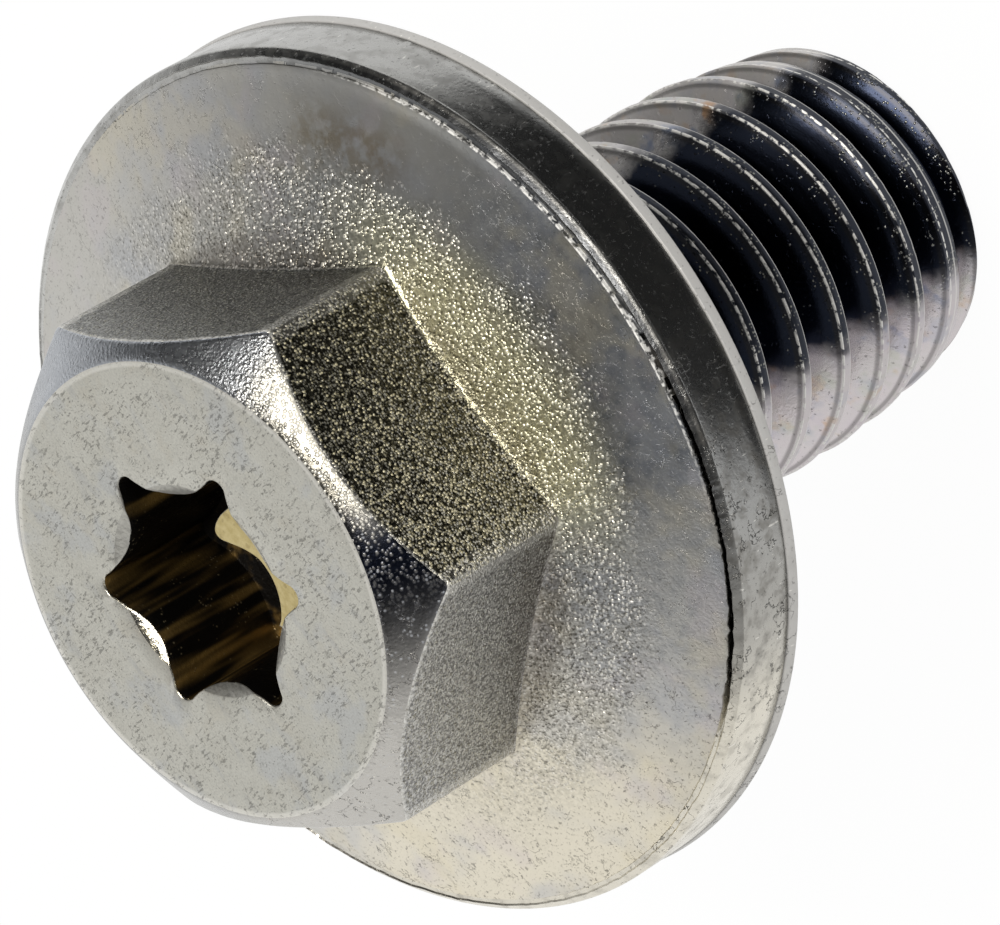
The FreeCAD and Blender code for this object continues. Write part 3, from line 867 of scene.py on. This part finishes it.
class PLUG_OT_body(bpy.types.Operator):
    """Model the plug in one skin: thread, neck, flange, hexagon, socket and the fold in its mouth"""
    bl_idname = "drain_plug.body"
    bl_label = "Plug"

    # Rings of the neck, roundings and wear along the edges, and unevenness of the forged faces
    NECK_RINGS = (0.5 * MM, 1.3 * MM)
    NECK_ROUNDING = 0.3 * MM
    LIP_LINE = 0.03 * MM
    RIM_WEAR = 0.05 * MM
    SOFT = 0.02 * MM
    SOCKET_CORNER = 0.2 * MM
    FORGED = 0.007 * MM
    GROOVE_EDGE = 0.03 * MM
    BEAD_WIDTH = 0.07 * MM
    FOLD_ROUNDING = 0.06 * MM

    # Nicks along the crests: how far they reach in, and how many large and small ones there are in a metre
    NICKED = 0.05 * MM
    LARGE_NICKS = 900
    SMALL_NICKS = 2600

    # Direction and half width of the torn part of the groove and of the bead beside it, in degrees
    TEAR = (236, 32)
    BEAD = (277, 40)

    # Turns of the thread, how many of them are wound below its first crest, and rings on a flank
    TURNS = 11
    TURNS_BELOW = 2
    FLANK_STEPS = 5

    # Distances within which points become one, and the largest angle that is shaded smooth
    WELD = 0.001 * MM
    THREAD_WELD = 0.002 * MM
    SMOOTH_ANGLE = math.radians(38)

    def execute(self, context):
        head = context.scene.plug_head
        flange = context.scene.plug_flange
        thread = context.scene.plug_thread
        outlines = Outlines(head, flange)
        skin = Skin("drain_plug_skin")
        self.raise_flange(skin, flange, thread, outlines)
        self.raise_hexagon(skin, head, flange, outlines)
        self.sink_socket(skin, head, outlines)
        self.join(skin.piece, self.wind_thread(flange, thread))
        self.weld_fold(skin.piece, self.cut_fold(head))
        self.finish(skin.piece, context.scene)
        return {"FINISHED"}

    def raise_flange(self, skin, flange, thread, outlines):
        """Neck, seat, flared lip, band, bevel, ragged groove and the bead beside it."""
        neck = thread.relief_radius
        seat = flange.seat_height
        seat_start = neck + self.NECK_ROUNDING
        seat_end = flange.radius - flange.seat_edge
        for rise in self.NECK_RINGS:
            skin.ring((neck, seat - thread.relief_length + rise))
        skin.corner((neck, seat - self.NECK_ROUNDING), (neck, seat), (seat_start, seat), 3)
        skin.run((seat_start, seat), (seat_end, seat), 4)
        skin.corner((seat_end, seat), (flange.radius, seat), (flange.radius, seat + flange.seat_edge), 3)

        lip_top = seat + flange.lip_height
        band = flange.radius - flange.lip_flare
        band_top = outlines.rim_top - flange.bevel_height
        line = self.LIP_LINE
        skin.ring(lambda a: (band + line + 0.01 * MM * waver(a, 14, 2), lip_top - 1.5 * line))
        skin.ring(lambda a: (band - line, lip_top + 0.015 * MM * waver(a, 20, 3)))
        skin.ring((band - 0.005 * MM, lip_top + 1.3 * line))
        skin.run((band, lip_top + line), (band, band_top), 4)

        # The groove opens where the rolled rim has torn away from the face
        def open_part(angle):
            return facing(angle, *self.TEAR)

        def outer(angle):
            torn = 0.02 + 0.05 * open_part(angle)
            return outlines.crack_outer + 0.03 * MM * waver(angle, 30, 5) + torn * MM * waver(angle, 110, 6)

        def inner(angle):
            ragged = 0.035 * MM * waver(angle, 45, 7) + 0.06 * MM * waver(angle, 130, 8)
            jog = 0.05 * MM * ease(math.degrees(angle) % 360, 254, 252)
            return outlines.crack_inner + ragged * (0.4 + open_part(angle)) + jog

        def bevel_end(angle):
            return outer(angle) + self.RIM_WEAR, outlines.rim_top - self.RIM_WEAR * 0.2

        def bottom(angle, aside):
            depth = flange.crack_depth * (0.2 + open_part(angle))
            return (outer(angle) + inner(angle)) / 2 + aside, outlines.rim_top - depth

        def bead(angle, from_groove, fallen):
            raised = 0.045 * MM * facing(angle, *self.BEAD) + 0.012 * MM * (1 + waver(angle, 60, 9))
            return inner(angle) - from_groove, outlines.cone(inner(angle) - fallen) + raised

        skin.corner((band, band_top - self.RIM_WEAR), (band, band_top),
                    lambda a: blended((band, band_top), bevel_end(a), 0.25), 3)
        skin.ring(bevel_end)
        skin.ring(lambda a: (outer(a), outlines.rim_top - self.RIM_WEAR))
        skin.ring(lambda a: bottom(a, self.SOFT))
        skin.ring(lambda a: bottom(a, -self.SOFT))
        skin.ring(lambda a: (inner(a), outlines.cone(inner(a)) - self.GROOVE_EDGE))
        skin.ring(lambda a: bead(a, self.SOFT, 0.0))
        skin.ring(lambda a: bead(a, self.BEAD_WIDTH, self.BEAD_WIDTH))
        skin.ring((outlines.face_start, outlines.cone(outlines.face_start)))

    def raise_hexagon(self, skin, head, flange, outlines):
        """Sloping face of the flange, the flats with their worn edges, and the crown."""
        foot = flange.root_rounding
        wear = head.edge_wear

        def foot_start(angle):
            radius = outlines.hexagon(angle) + foot
            return radius, outlines.cone(radius)

        def flat_start(angle):
            return outlines.hexagon(angle), outlines.cone(outlines.hexagon(angle)) + foot

        def flat_end(angle):
            radius = outlines.hexagon(angle)
            return radius, outlines.crown(radius) - wear

        def crown_start(angle):
            radius = outlines.hexagon(angle) - wear * math.cos(head.crown_slope)
            return radius, outlines.crown(radius)

        def corner(surface):
            return lambda angle: (outlines.hexagon(angle), surface(outlines.hexagon(angle)))

        crown_radius = outlines.crown_radius
        crown_end = (crown_radius + head.face_wear, outlines.crown(crown_radius + head.face_wear))
        skin.unevenness = self.FORGED
        skin.run((outlines.face_start, outlines.cone(outlines.face_start)), foot_start, 16)
        skin.corner(foot_start, corner(outlines.cone), flat_start, 3)
        skin.run(flat_start, flat_end, 10)
        skin.corner(flat_end, corner(outlines.crown), crown_start, 4)
        skin.run(crown_start, crown_end, 5)
        skin.unevenness = 0.0
        skin.corner(crown_end, (crown_radius, outlines.top), (crown_radius - head.face_wear, outlines.top), 3)

    def sink_socket(self, skin, head, outlines):
        """End face, the small cone of the mouth, the lobed wall and the conical floor."""
        top = outlines.top
        soft = self.SOFT
        bottom = top - head.socket_depth

        def mouth_start(angle):
            return outlines.mouth(angle) + 2 * soft, top

        def wall_start(angle):
            return outlines.wall(angle), outlines.mouth_foot(angle) - 2 * soft

        def wall_end(angle):
            return outlines.wall(angle), bottom + self.SOCKET_CORNER

        skin.run((outlines.crown_radius - head.face_wear, top), mouth_start, 6)
        skin.ring(mouth_start)
        skin.ring(lambda a: (outlines.mouth(a), top - soft))
        skin.ring(lambda a: (outlines.wall(a) + soft, outlines.mouth_foot(a) - soft / 2))
        skin.ring(wall_start)
        skin.run(wall_start, wall_end, 7)
        skin.corner(wall_end, lambda a: (outlines.wall(a), bottom),
                    lambda a: (outlines.wall(a) * 0.94, bottom), 2)
        for share in (0.6, 0.3, 0.06):
            skin.ring(lambda a: (outlines.wall(a) * share, bottom - head.floor_drop * (1 - share)))
        bpy.ops.mesh.extrude_region_move()
        bpy.ops.mesh.merge(type="CENTER")
        deselect()

    def wind_thread(self, flange, thread):
        """Wind one pitch of the thread's section up the shank, then taper it and cut its ends."""
        root = thread.radius - thread.depth
        half_root = thread.root_width / 2
        flank = thread.depth * math.tan(math.pi / 6)
        half_crest = thread.pitch / 2 - half_root - flank
        soft = self.SOFT
        section = [(thread.radius, 0.0), (thread.radius, half_crest * 0.6)]
        section.append((thread.radius - soft, half_crest))
        for step in range(1, self.FLANK_STEPS):
            share = step / self.FLANK_STEPS
            section.append((thread.radius - thread.depth * share, half_crest + flank * share))
        section.append((root + soft, half_crest + flank))
        section.append((root, half_crest + flank + half_root * 0.5))
        section += [(radius, thread.pitch - height) for radius, height in reversed(section[1:])]
        section.append((thread.radius, thread.pitch))

        start = thread.first_crest - self.TURNS_BELOW * thread.pitch
        shank = draw_line("shank", [(radius, 0.0, start + height) for radius, height in section])
        bpy.ops.object.mode_set(mode="OBJECT")
        screw = shank.modifiers.new("Thread", "SCREW")
        screw.axis = "Z"
        screw.angle = 2 * math.pi
        screw.screw_offset = thread.pitch
        screw.iterations = self.TURNS
        screw.steps = screw.render_steps = thread.steps
        bpy.ops.object.modifier_apply(modifier=screw.name)

        neck_start = flange.seat_height - thread.relief_length
        run_out = neck_start - thread.relief_bevel
        bpy.ops.object.mode_set(mode="EDIT")
        bpy.ops.mesh.select_all(action="SELECT")
        bpy.ops.mesh.remove_doubles(threshold=self.THREAD_WELD)
        for height in (thread.tip_edge, thread.taper_length, run_out, neck_start):
            self.slice_level(height)
        self.slice_level(neck_start + 0.2 * MM, clear_outer=True)
        self.slice_level(0.0, clear_inner=True, use_fill=True)

        mesh = bmesh.from_edit_mesh(shank.data)
        for point in mesh.verts:
            limit = self.shank_limit(point.co.z, thread, run_out)
            reach = math.hypot(point.co.x, point.co.y)
            if reach > limit - self.NICKED:
                large = noise.noise(point.co * self.LARGE_NICKS)
                nick = noise.noise(point.co * self.SMALL_NICKS) + 0.6 * large
                limit -= thread.crest_wear * max(nick, 0.0)
            if reach > limit:
                point.co.x *= limit / reach
                point.co.y *= limit / reach
        bmesh.update_edit_mesh(shank.data)
        deselect()
        return shank

    def slice_level(self, height, **clearing):
        """Slice the skin across at a height."""
        bpy.ops.mesh.select_all(action="SELECT")
        bpy.ops.mesh.bisect(plane_co=(0, 0, height), plane_no=(0, 0, 1), threshold=EXACT, **clearing)

    def shank_limit(self, height, thread, run_out):
        """Largest radius of the shank at a height: bevelled tip, taper, full thread, then the neck."""
        if height < thread.tip_edge:
            return thread.tip_radius - thread.tip_edge + max(height, 0.0)
        if height < thread.taper_length:
            share = (height - thread.tip_edge) / (thread.taper_length - thread.tip_edge)
            return thread.tip_radius + (thread.radius - thread.tip_radius) * share
        share = min(max((height - run_out) / thread.relief_bevel, 0.0), 1.0)
        return thread.radius + (thread.relief_radius - thread.radius) * share

    def join(self, head, shank):
        """Make one skin of the head and the shank: the two open rings of the neck are bridged."""
        pick(head, shank)
        bpy.ops.object.join()
        bpy.ops.object.mode_set(mode="EDIT")
        bpy.ops.mesh.select_mode(type="EDGE")
        bpy.ops.mesh.select_all(action="DESELECT")
        bpy.ops.mesh.select_non_manifold(
            extend=False, use_boundary=True, use_wire=False, use_multi_face=False,
            use_non_contiguous=False, use_verts=False)
        bpy.ops.mesh.bridge_edge_loops()
        bpy.ops.mesh.select_all(action="SELECT")
        bpy.ops.mesh.remove_doubles(threshold=self.WELD)
        bpy.ops.mesh.normals_make_consistent(inside=False)
        deselect()

    def cut_fold(self, head):
        """Cut a plate to the outline of the fold at its height in the mouth, and round its upper edge."""
        top = head.face_height - head.fold_drop

        def spot(radius, degrees):
            angle = math.radians(degrees)
            return radius * MM * math.cos(angle), radius * MM * math.sin(angle), top

        corners = [spot(*point) for point in FOLD_OUTLINE]
        points = [corners[0]]
        for before, here, after in zip(corners, corners[1:], corners[2:]):
            start = blended(before, here, 0.5)
            end = blended(here, after, 0.5)
            points += [curved(start, here, end, share) for share in (0.0, 0.25, 0.5, 0.75)]
        points.append(corners[-1])
        points += [spot(*point) for point in FOLD_BACK]
        plate = draw_line("fold", points)
        bpy.ops.mesh.select_all(action="SELECT")
        bpy.ops.mesh.edge_face_add()
        bpy.ops.mesh.extrude_region_move(TRANSFORM_OT_translate={"value": (0, 0, -head.fold_thickness)})
        bpy.ops.mesh.select_all(action="SELECT")
        bpy.ops.mesh.normals_make_consistent(inside=False)
        bpy.ops.mesh.select_mode(type="EDGE")
        bpy.ops.mesh.select_all(action="DESELECT")
        mesh = bmesh.from_edit_mesh(plate.data)
        for edge in mesh.edges:
            edge.select = all(point.co.z > top - EXACT for point in edge.verts)
        mesh.select_flush_mode()
        bmesh.update_edit_mesh(plate.data)
        bpy.ops.mesh.bevel(offset=self.FOLD_ROUNDING, segments=3, affect="EDGES", clamp_overlap=True)
        deselect()
        return plate

    def weld_fold(self, head, plate):
        """Join the plate to the head's skin, so that they are one."""
        pick(head)
        union = head.modifiers.new("Fold", "BOOLEAN")
        union.operation = "UNION"
        union.solver = "EXACT"
        union.object = plate
        bpy.ops.object.modifier_apply(modifier=union.name)
        bpy.data.objects.remove(plate)

    def finish(self, piece, scene):
        """Give each face the finish of its place, and shade the skin."""
        for name in FINISHES:
            piece.data.materials.append(getattr(Plating(name, scene), name)())
        for face in piece.data.polygons:
            name = finish_at(face.center, face.normal, scene.plug_head, scene.plug_flange)
            face.material_index = FINISHES.index(name)
        pick(piece)
        bpy.ops.object.shade_smooth_by_angle(angle=self.SMOOTH_ANGLE)
        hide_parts("drain_plug")
        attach(piece, "root")


class StudioLevels(bpy.types.PropertyGroup):
    sky: level("Sky", "Brightness of the surroundings", 0.80)
    key_power: level("Key power", "Power of the large lamp over the right flat, in watts", 0.7)
    floor_glow: level("Floor glow", "Share of plain white in what the camera sees of the floor", 0.96)
    floor_colour: colour("Floor", "Colour of the floor", (0.85, 0.85, 0.84))


# Directions of the studio: towards the camera along the floor, across the picture, and up

TOWARDS_CAMERA = Matrix.Rotation(math.radians(-96.8), 3, "Z") @ Vector((1, 0, 0))
ACROSS = Matrix.Rotation(math.radians(-6.8), 3, "Z") @ Vector((1, 0, 0))
UPRIGHT = Vector((0, 0, 1))

# Camera: its place from the middle of the end face, the way it looks and its way up, and its lens in mm

CAMERA_PLACE = TOWARDS_CAMERA * 0.1680 - ACROSS * 0.00128 + UPRIGHT * 0.1335
CAMERA_AHEAD = -0.7545 * TOWARDS_CAMERA - 0.6563 * UPRIGHT
CAMERA_UP = 0.3371 * TOWARDS_CAMERA + 0.8580 * ACROSS - 0.3875 * UPRIGHT
SENSOR_WIDTH = 36
LENS_LENGTH = 262.84


class PLUG_OT_stage(bpy.types.Operator):
    """Lay the floor and set the surroundings, the lamp, the black flags and the camera"""
    bl_idname = "drain_plug.stage"
    bl_label = "Stage"

    # Lamp: its direction and rise from the head in degrees, then its distance and size in metres
    LAMP_AZIMUTH = -62
    LAMP_RISE = 56
    LAMP_DISTANCE = 0.30
    LAMP_SIZE = (0.20, 0.09)
    LAMP_TINT = (1.0, 0.96, 0.90)

    # Black flags: how much they cover, and the radius of the curved one
    FLAG_COVER = 0.96
    FLAG_RADIUS = 0.6

    # Flag on the floor, in mm: from start to end towards the camera, from low to high across it
    FLAG_START = 12.0
    FLAG_END = 220.0
    FLAG_LOW = -22.0
    FLAG_HIGH = 52.0
    FLAG_SPREAD = 2.2
    FLAG_LIFT = 0.5
    FLAG_FADE = 5.0
    FLAG_SOFT = 9.0

    def execute(self, context):
        levels = context.scene.plug_studio
        self.lay_floor(levels)
        self.surround(context.scene, levels)
        self.hang_lamp(context.scene, levels.key_power)
        self.raise_flag()
        self.lay_flag()
        self.set_camera(context.scene)
        context.scene.view_settings.view_transform = "Standard"
        return {"FINISHED"}

    def lay_floor(self, levels):
        """Lay a matt floor that the camera sees almost plain white."""
        deselect()
        bpy.ops.mesh.primitive_plane_add(size=2.0)
        floor = bpy.context.object
        floor.name = "floor"
        finish = Finish("floor")
        matt = finish.node("BsdfDiffuse", {}, {"Color": (*levels.floor_colour, 1.0)})
        floor.data.materials.append(finish.glowing(finish.seen() * levels.floor_glow, matt, (1.0, 1.0, 1.0)))

    def surround(self, scene, levels):
        """Plain white surroundings, a little dimmer as light than as what is seen."""
        world = bpy.data.worlds.new("studio")
        scene.world = world
        world.use_nodes = True
        sky = Builder(world.node_tree)
        seen = sky.seen()
        strength = seen + (1 - seen) * levels.sky
        background = sky.node("Background", {}, {"Color": (1.0, 1.0, 1.0, 1.0), "Strength": strength})
        sky.node("OutputWorld", {}, {"Surface": background})

    def hang_lamp(self, scene, power):
        """Hang a soft lamp in a direction from the head, and turn it to face the head."""
        light = bpy.data.lights.new("key", "AREA")
        light.shape = "RECTANGLE"
        light.size, light.size_y = self.LAMP_SIZE
        light.energy = power
        light.color = self.LAMP_TINT
        lamp = bpy.data.objects.new("key", light)
        scene.collection.objects.link(lamp)
        flat = math.radians(self.LAMP_AZIMUTH)
        rise = math.radians(self.LAMP_RISE)
        away = Vector((math.cos(flat) * math.cos(rise), math.sin(flat) * math.cos(rise), math.sin(rise)))
        turn = away.to_track_quat("Z", "Y").to_matrix().to_4x4()
        lamp.matrix_world = Matrix.Translation(UPRIGHT * solid_high[2] + away * self.LAMP_DISTANCE) @ turn

    def raise_flag(self):
        """Curved black cloth over the camera's side, thinning out towards the bright back and left."""
        deselect()
        bpy.ops.mesh.primitive_uv_sphere_add(segments=64, ring_count=32, radius=self.FLAG_RADIUS)
        flag = bpy.context.object
        flag.name = "black_flag"
        bpy.ops.object.mode_set(mode="EDIT")
        bpy.ops.mesh.select_all(action="SELECT")
        bpy.ops.mesh.bisect(plane_co=(0, 0, MM), plane_no=(0, 0, 1), clear_inner=True, threshold=EXACT)
        deselect()
        finish = Finish("black_flag")
        outward = finish.node("VectorMath", {"operation": "NORMALIZE"}, {0: finish.place})
        behind = finish.dot(outward, -TOWARDS_CAMERA - 0.35 * ACROSS)
        left = finish.dot(outward, -ACROSS)
        open_share = finish.step(behind, 0.10, 0.75) + finish.step(left, 0.45, 0.75) * 0.5
        self.black_cloth(flag, finish, 1 - open_share)

    def lay_flag(self):
        """Black cloth on the floor in front of the plug, wider towards the camera and with soft edges."""
        deselect()
        bpy.ops.mesh.primitive_plane_add(size=1.0)
        flag = bpy.context.object
        flag.name = "floor_flag"
        for point in flag.data.vertices:
            forward, spread = (self.FLAG_START, 1.0) if point.co.x < 0 else (self.FLAG_END, self.FLAG_SPREAD)
            aside = (self.FLAG_LOW if point.co.y < 0 else self.FLAG_HIGH) * spread
            point.co = (TOWARDS_CAMERA * forward + ACROSS * aside + UPRIGHT * self.FLAG_LIFT) * MM
        finish = Finish("floor_flag")
        forward = finish.dot(finish.place, TOWARDS_CAMERA)
        aside = finish.dot(finish.place, ACROSS) / (forward * 0.006 + 0.93)
        front = finish.step(forward, self.FLAG_START, self.FLAG_START + self.FLAG_FADE)
        left = finish.step(aside, self.FLAG_LOW, self.FLAG_LOW + self.FLAG_SOFT)
        right = 1 - finish.step(aside, self.FLAG_HIGH - self.FLAG_SOFT, self.FLAG_HIGH)
        self.black_cloth(flag, finish, front * left * right)

    def black_cloth(self, flag, finish, share):
        """Show the cloth only in the gloss of the metal, where it covers the pale surroundings."""
        clear = finish.node("BsdfTransparent", {}, {})
        flag.data.materials.append(finish.glowing(share * self.FLAG_COVER, clear, (0.0, 0.0, 0.0)))
        flag.visible_camera = False
        flag.visible_diffuse = False
        flag.visible_shadow = False
        flag.visible_transmission = False

    def set_camera(self, scene):
        """Look from above the head at the angle of the photograph."""
        right = CAMERA_AHEAD.cross(CAMERA_UP).normalized()
        up = right.cross(CAMERA_AHEAD).normalized()
        lens = bpy.data.cameras.new("camera")
        lens.sensor_width = SENSOR_WIDTH
        lens.lens = LENS_LENGTH
        lens.clip_start = 0.01
        camera = bpy.data.objects.new("camera", lens)
        scene.collection.objects.link(camera)
        turn = Matrix((right, up, -CAMERA_AHEAD)).transposed()
        camera.matrix_world = Matrix.Translation(CAMERA_PLACE + UPRIGHT * solid_high[2]) @ turn.to_4x4()
        scene.camera = camera


class PLUG_PT_panel(bpy.types.Panel):
    """Sizes, colours and buttons that build the drain plug"""
    bl_idname = "PLUG_PT_panel"
    bl_label = "Oil drain plug"
    bl_space_type = "VIEW_3D"
    bl_region_type = "UI"
    bl_category = "Drain plug"

    def draw(self, context):
        for operator in (PLUG_OT_body, PLUG_OT_stage):
            self.layout.operator(operator.bl_idname)
        for title, (place, group) in SETTINGS.items():
            box = self.layout.box()
            box.label(text=title)
            for name in group.__annotations__:
                box.prop(getattr(context.scene, place), name)


SETTINGS = {
    "Head": ("plug_head", HeadSizes),
    "Flange": ("plug_flange", FlangeSizes),
    "Thread": ("plug_thread", ThreadSizes),
    "Plating": ("plug_colours", PlatingColours),
    "Studio": ("plug_studio", StudioLevels),
}
CLASSES = tuple(group for name, group in SETTINGS.values()) + (PLUG_OT_body, PLUG_OT_stage, PLUG_PT_panel)


def register():
    for kind in CLASSES:
        bpy.utils.register_class(kind)
    for name, group in SETTINGS.values():
        setattr(bpy.types.Scene, name, PointerProperty(type=group))


def unregister():
    for name, group in SETTINGS.values():
        delattr(bpy.types.Scene, name)
    for kind in reversed(CLASSES):
        bpy.utils.unregister_class(kind)


def main():
    register()
    bpy.ops.drain_plug.body()
    bpy.ops.drain_plug.stage()


if __name__ == "__main__":
    main()
